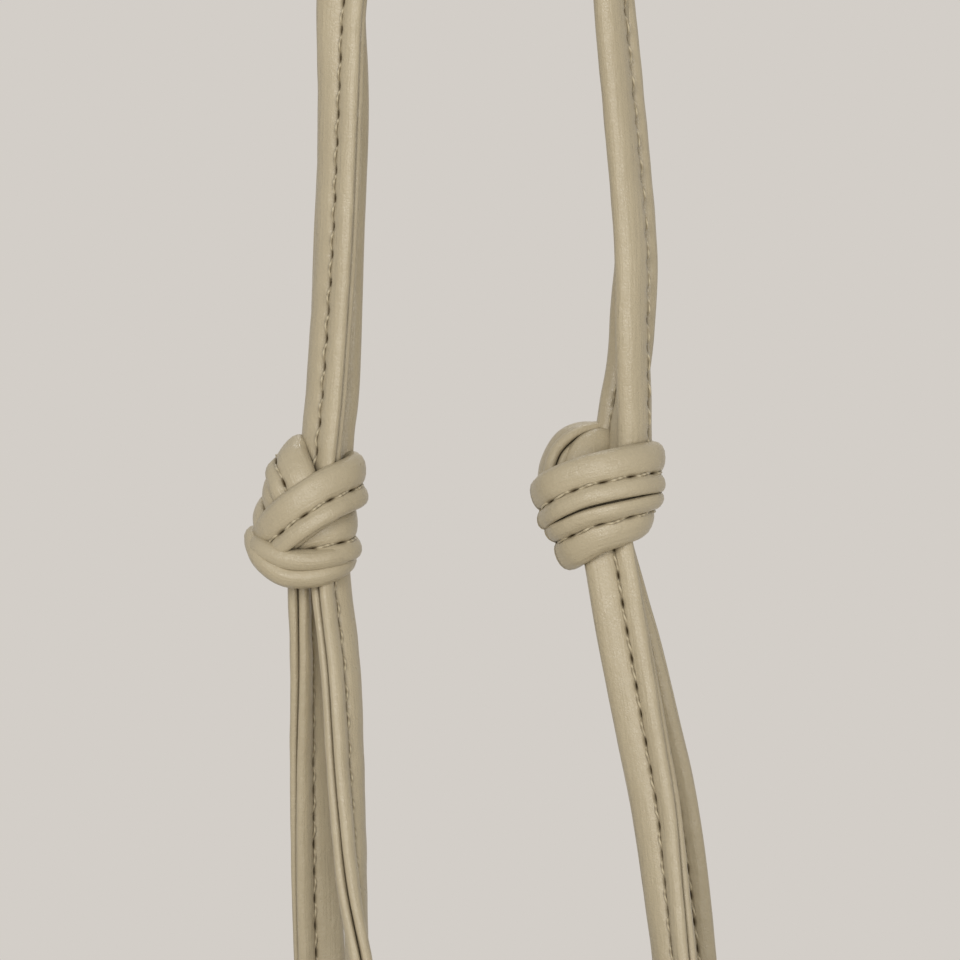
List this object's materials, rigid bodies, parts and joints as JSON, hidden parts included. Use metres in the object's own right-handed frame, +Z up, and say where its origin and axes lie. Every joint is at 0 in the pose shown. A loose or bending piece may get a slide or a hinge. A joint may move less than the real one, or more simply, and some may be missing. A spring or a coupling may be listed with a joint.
{
  "type": "drawstring pouch",
  "caption": "Soft leather pouch that hangs by knotted, folded straps, which run through brass eyelets and draw its mouth shut.",
  "frame": {"origin": "where the straps hang over a peg, on the peg's top", "axes": "+Z up, -Y the front, +X to the right seen from the front"},
  "size_m": [0.1798, 0.0978, 0.4055],
  "materials": {
    "strap_leather": "smooth soft leather, folded and top-stitched",
    "pouch_leather": "smooth soft leather",
    "facing_leather": "suede side out",
    "lining_cloth": "plain cotton twill",
    "base_stiffener": "plain sheet",
    "eyelet_brass": "satin"
  },
  "bodies": {
    "handle": {"handle_strap_front": "strap_leather", "handle_strap_rear": "strap_leather", "knot_left": "strap_leather", "knot_right": "strap_leather"},
    "pouch": {"front_panel": "pouch_leather", "rear_panel": "pouch_leather", "gusset_left": "pouch_leather", "gusset_right": "pouch_leather", "base_panel": "pouch_leather", "base_board": "base_stiffener", "front_lining": "lining_cloth", "rear_lining": "lining_cloth", "gusset_lining_left": "lining_cloth", "gusset_lining_right": "lining_cloth", "base_lining": "lining_cloth"},
    "front_mouth": {"front_flap": "pouch_leather", "front_facing": "facing_leather", "front_eyelet_1": "eyelet_brass", "front_eyelet_2": "eyelet_brass", "front_eyelet_3": "eyelet_brass", "front_eyelet_4": "eyelet_brass", "front_washer_1": "eyelet_brass", "front_washer_2": "eyelet_brass", "front_washer_3": "eyelet_brass", "front_washer_4": "eyelet_brass", "front_lacing": "strap_leather"},
    "front_drop": {"front_drop_left": "strap_leather", "front_drop_right": "strap_leather"},
    "rear_mouth": {"rear_flap": "pouch_leather", "rear_facing": "facing_leather", "rear_eyelet_1": "eyelet_brass", "rear_eyelet_2": "eyelet_brass", "rear_eyelet_3": "eyelet_brass", "rear_eyelet_4": "eyelet_brass", "rear_washer_1": "eyelet_brass", "rear_washer_2": "eyelet_brass", "rear_washer_3": "eyelet_brass", "rear_washer_4": "eyelet_brass", "rear_lacing": "strap_leather"},
    "rear_drop": {"rear_drop_left": "strap_leather", "rear_drop_right": "strap_leather"}
  },
  "joints": [
    {"name": "pouch_swing", "type": "hinge", "parent": "handle", "child": "pouch", "pos_m": [-0.0092, 0, -0.1212], "axis": [1, 0, 0], "range_deg": [-25, 25]},
    {"name": "front_mouth_open", "type": "hinge", "parent": "pouch", "child": "front_mouth", "pos_m": [0, -0.027, -0.266], "axis": [1, 0, 0], "range_deg": [0, 30]},
    {"name": "rear_mouth_open", "type": "hinge", "parent": "pouch", "child": "rear_mouth", "pos_m": [0, 0.027, -0.266], "axis": [-1, 0, 0], "range_deg": [0, 30]},
    {"name": "front_drop_turn", "type": "hinge", "parent": "front_mouth", "child": "front_drop", "pos_m": [0, -0.0136, -0.22775], "axis": [-1, 0, 0], "range_deg": [0, 42.6]},
    {"name": "rear_drop_turn", "type": "hinge", "parent": "rear_mouth", "child": "rear_drop", "pos_m": [0, 0.0136, -0.22775], "axis": [1, 0, 0], "range_deg": [0, 42.6]}
  ],
  "couplings": [
    {"joint": "rear_mouth_open", "follows": "front_mouth_open", "ratio": 1},
    {"joint": "front_drop_turn", "follows": "front_mouth_open", "ratio": 1.42},
    {"joint": "rear_drop_turn", "follows": "front_mouth_open", "ratio": 1.42}
  ]
}
